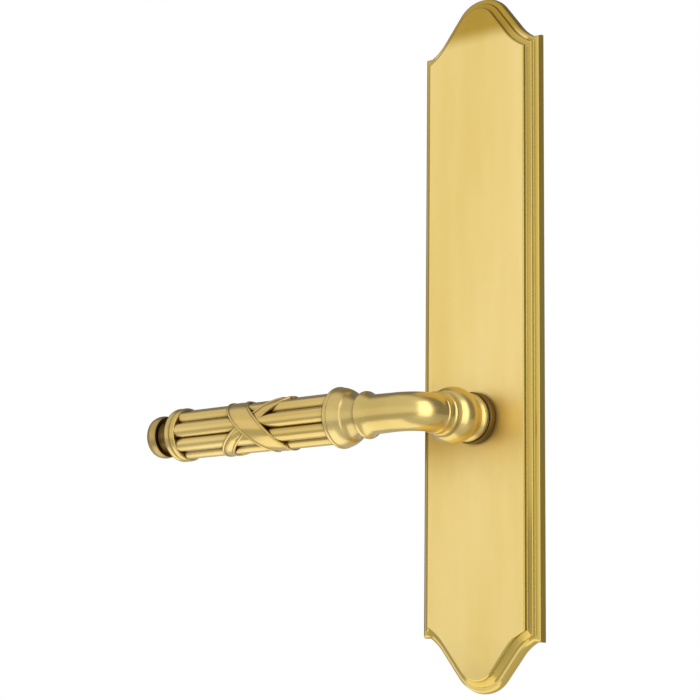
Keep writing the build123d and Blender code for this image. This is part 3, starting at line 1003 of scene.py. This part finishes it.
# %% Finishes on the solids
FINISHES = {
    "shank_bush": NYLON,
    "thrust_washer": COLLAR_PAINTED_SHADE_BRASS,
    "upper_post": ZINC,
    "lower_post": ZINC,
    "cassette_housing": ZINC,
    "cassette_cover": ZINC,
    "cassette_screws": BAR_STEEL,
    "return_spring_left": SPRING_STEEL,
    "return_spring_right": SPRING_STEEL,
    "spindle": BAR_STEEL,
    "tie_rod": BAR_STEEL,
    "rotor": ZINC,
    "retaining_ring": SPRING_STEEL,
}
for node, finish in FINISHES.items():
    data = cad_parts[node].data
    data.materials.clear()
    data.materials.append(finish)
print("solids given a finish:", len(FINISHES))

# %% [markdown]
# The stage is a plain pale floor, well below the set so that its shadow stays out of the picture.

# %% Floor
FLOOR_LEVEL = -400.0
FLOOR_HALF_SIDE = 1600.0
PALE = (0.9, 0.9, 0.9, 1)
FLOOR_ROUGHNESS = 0.8
floor_mesh = bmesh.new()
bmesh.ops.create_grid(floor_mesh, x_segments=1, y_segments=1, size=FLOOR_HALF_SIDE * MM)
floor_data = bpy.data.meshes.new("floor")
floor_mesh.to_mesh(floor_data)
floor_mesh.free()
floor = bpy.data.objects.new("floor", floor_data)
floor.location.z = FLOOR_LEVEL * MM
bpy.context.scene.collection.objects.link(floor)
floor_paint, floor_tree, floor_shader = new_material("pale_floor", 0.0)
feed(floor_tree, PALE, floor_shader.inputs["Base Color"])
feed(floor_tree, FLOOR_ROUGHNESS, floor_shader.inputs["Roughness"])
floor_data.materials.append(floor_paint)

# %% [markdown]
# Polished metal looks like what stands round it, so the world matters more than the lamps. The
# camera sees it plain white. A reflection sees a white room in front of the door, which is dimmer
# behind the door, far to the left and a little overhead, as a real room is. Everything else gets
# an even, weaker fill. Light Path tells the three kinds of ray apart.

# %% World
FILL = 0.65
ROOM = (
    ("Y", (-0.1, 0.3), (1.0, 0.3)),
    ("X", (-0.95, -0.76), (0.32, 1.0)),
    ("Z", (0.3, 0.42), (1.0, 0.85)),
)


def room_light(tree):
    """Brightness by direction. Each row of ROOM eases from one level to another along an axis."""
    parts = tree.nodes.new("ShaderNodeSeparateXYZ")
    feed(tree, tree.nodes.new("ShaderNodeTexCoord").outputs["Generated"], parts.inputs[0])
    light = 1.0
    for axis, change, levels in ROOM:
        level = map_range(tree, parts.outputs[axis], change, levels, "SMOOTHSTEP")
        light = math_node(tree, "MULTIPLY", light, level)
    return light


def background(tree, strength):
    """A white background."""
    node = tree.nodes.new("ShaderNodeBackground")
    feed(tree, (1, 1, 1, 1), node.inputs["Color"])
    feed(tree, strength, node.inputs["Strength"])
    return node.outputs[0]


world = bpy.data.worlds.new("studio")
bpy.context.scene.world = world
world.use_nodes = True
tree = world.node_tree
tree.nodes.clear()
rays = tree.nodes.new("ShaderNodeLightPath")
by_camera = rays.outputs["Is Camera Ray"]
mirrored = math_node(tree, "MAXIMUM", rays.outputs["Is Glossy Ray"], rays.outputs["Is Transmission Ray"])
shown = math_node(tree, "MAXIMUM", by_camera, room_light(tree))
mix = tree.nodes.new("ShaderNodeMixShader")
feed(tree, math_node(tree, "MAXIMUM", by_camera, mirrored), mix.inputs["Fac"])
feed(tree, background(tree, FILL), mix.inputs[1])
feed(tree, background(tree, shown), mix.inputs[2])
feed(tree, mix.outputs[0], tree.nodes.new("ShaderNodeOutputWorld").inputs["Surface"])
print("world nodes:", len(tree.nodes))

# %% [markdown]
# Two soft lamps stand in for windows. The tall one at the right puts the bright upright patch on
# the elbow and lights the plate's right edge, and the low one brightens undersides. An area
# lamp's energy is spread over its face, so it is worked out from a brightness.

# %% Lights
WINDOW_TINT = (0.9, 0.94, 1.0)


def panel(name, place, aim, width, height, brightness):
    """A soft lamp at a place, facing a point. Brightness 1 looks as white as the background."""
    lamp = bpy.data.lights.new(name, "AREA")
    lamp.shape = "RECTANGLE"
    lamp.size = width * MM
    lamp.size_y = height * MM
    lamp.energy = brightness * math.pi * width * MM * height * MM
    lamp.color = WINDOW_TINT
    holder = bpy.data.objects.new(name, lamp)
    bpy.context.scene.collection.objects.link(holder)
    holder.location = Vector(place) * MM
    holder.rotation_euler = (Vector(aim) - Vector(place)).to_track_quat("-Z", "Y").to_euler()
    print(f"{name}: {lamp.energy:.2f} W")


panel("right_panel", place=(585, -165, 200), aim=(0, -30, 200), width=420, height=1140, brightness=1.4)
panel("low_panel", place=(-200, -120, -360), aim=(-200, -120, 0), width=500, height=500, brightness=0.85)

# %% [markdown]
# The camera repeats the photo's: below the handle's middle and well round to the right, so the
# plate shows its right edge and the lever runs away to the left. Its place and its focal length,
# in pixels, were fitted to the outlines in the photo.

# %% Camera
AZIMUTH = math.radians(39.56)
ELEVATION = math.radians(-8.06)
ROLL = math.radians(0.69)
DISTANCE = 654.43
TARGET = Vector((-63.87, 0, 30.72))
FOCAL_PIXELS = 1692.92
PICTURE_PIXELS = 700
back = Vector(
    (
        math.sin(AZIMUTH) * math.cos(ELEVATION),
        -math.cos(AZIMUTH) * math.cos(ELEVATION),
        math.sin(ELEVATION),
    )
)
right = Vector((math.cos(AZIMUTH), math.sin(AZIMUTH), 0))
up = back.cross(right)
rolled_right = right * math.cos(ROLL) + up * math.sin(ROLL)
rolled_up = up * math.cos(ROLL) - right * math.sin(ROLL)
camera_data = bpy.data.cameras.new("camera")
camera_data.sensor_width = 36.0
camera_data.lens = FOCAL_PIXELS / PICTURE_PIXELS * camera_data.sensor_width
camera_data.clip_start = 10.0 * MM
camera = bpy.data.objects.new("camera", camera_data)
bpy.context.scene.collection.objects.link(camera)
turn = Matrix((rolled_right, rolled_up, back)).transposed().to_4x4()
camera.matrix_world = Matrix.Translation((TARGET + back * DISTANCE) * MM) @ turn
bpy.context.scene.camera = camera
bpy.context.scene.view_settings.view_transform = "Standard"
print("lens:", round(camera_data.lens, 2))
